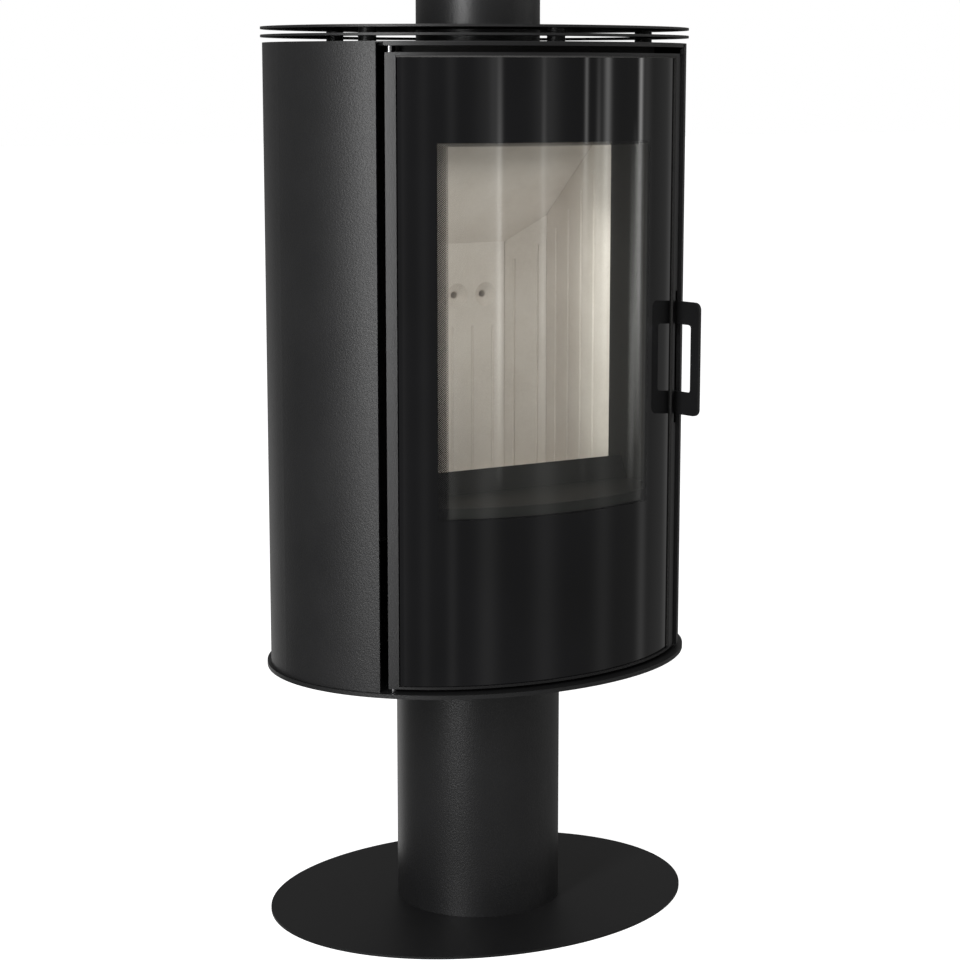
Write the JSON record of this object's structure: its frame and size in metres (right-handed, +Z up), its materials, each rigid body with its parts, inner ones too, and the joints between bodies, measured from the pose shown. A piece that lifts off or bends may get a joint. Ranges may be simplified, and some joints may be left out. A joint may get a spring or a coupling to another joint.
{
  "type": "wood burning stove",
  "caption": "Oval black steel wood-burning stove on a round column and an oval floor plate, with a curved glass door, a loop handle, a pale brick lining and a top flue collar.",
  "frame": {"origin": "centre of the floor plate's underside", "axes": "+Z up; -Y is the front, where the glass door is; +X is to the right as seen from the front"},
  "size_m": [0.548, 0.444, 1.123],
  "materials": {
    "black_paint": "matt",
    "heatproof_paint": "matt",
    "vermiculite": "matt",
    "cast_iron": "matt",
    "zinc_steel": "satin",
    "knob_black": "matt",
    "glass": "gloss",
    "seal": "matt"
  },
  "bodies": {
    "frame": {"air_box": "heatproof_paint", "air_slide_guides": "heatproof_paint", "air_spigot": "zinc_steel", "ash_housing": "heatproof_paint", "ash_pan": "zinc_steel", "baffle": "vermiculite", "base_screws": "zinc_steel", "body_top_plate": "black_paint", "bottom_plate": "black_paint", "column_head_bolts": "zinc_steel", "column_rings": "heatproof_paint", "door_catches": "heatproof_paint", "firebox_back": "heatproof_paint", "firebox_floor": "heatproof_paint", "firebox_roof": "heatproof_paint", "firebox_side_left": "heatproof_paint", "firebox_side_right": "heatproof_paint", "floor_plate": "black_paint", "flue_collar": "black_paint", "flue_collar_screws": "zinc_steel", "front_frame": "heatproof_paint", "front_top_rail": "black_paint", "grate": "cast_iron", "hearth_sill": "heatproof_paint", "hinge_pins": "zinc_steel", "lining_back": "vermiculite", "lining_base": "vermiculite", "lining_corner_left": "vermiculite", "lining_corner_right": "vermiculite", "lining_side_left": "vermiculite", "lining_side_right": "vermiculite", "log_guard": "heatproof_paint", "lower_top_plate": "black_paint", "pedestal_column": "black_paint", "rear_panel": "black_paint", "rear_panel_screws": "zinc_steel", "rear_posts": "heatproof_paint", "secondary_air_duct": "heatproof_paint", "side_panel_left": "black_paint", "side_panel_right": "black_paint", "throat_left": "heatproof_paint", "throat_right": "heatproof_paint", "top_plate_screws": "zinc_steel", "top_spacers": "zinc_steel", "upper_top_plate": "black_paint"},
    "door": {"door_top_rail": "black_paint", "door_bottom_rail": "black_paint", "door_stile_left": "black_paint", "door_stile_right": "black_paint", "hinge_blocks": "heatproof_paint", "door_inner_frame": "heatproof_paint", "door_glass": "glass", "glass_gasket": "seal", "door_rope_seal": "seal", "latch_bearings": "heatproof_paint"},
    "latch": {"latch_shaft": "zinc_steel", "latch_claws": "zinc_steel", "door_handle": "black_paint"},
    "air_control": {"air_slide": "zinc_steel", "air_knob": "knob_black"}
  },
  "joints": [
    {"name": "door_hinge", "type": "hinge", "parent": "frame", "child": "door", "pos_m": [-0.19611, -0.13026, 0.69], "axis": [0, 0, -1], "range_deg": [0, 100]},
    {"name": "handle_pivot", "type": "hinge", "parent": "door", "child": "latch", "pos_m": [0.1975, -0.1138, 0.69], "axis": [0, 0, 1], "range_deg": [0, 20]},
    {"name": "air_slide_travel", "type": "slide", "parent": "frame", "child": "air_control", "axis": [1, 0, 0], "range_m": [0, 0.015]}
  ]
}
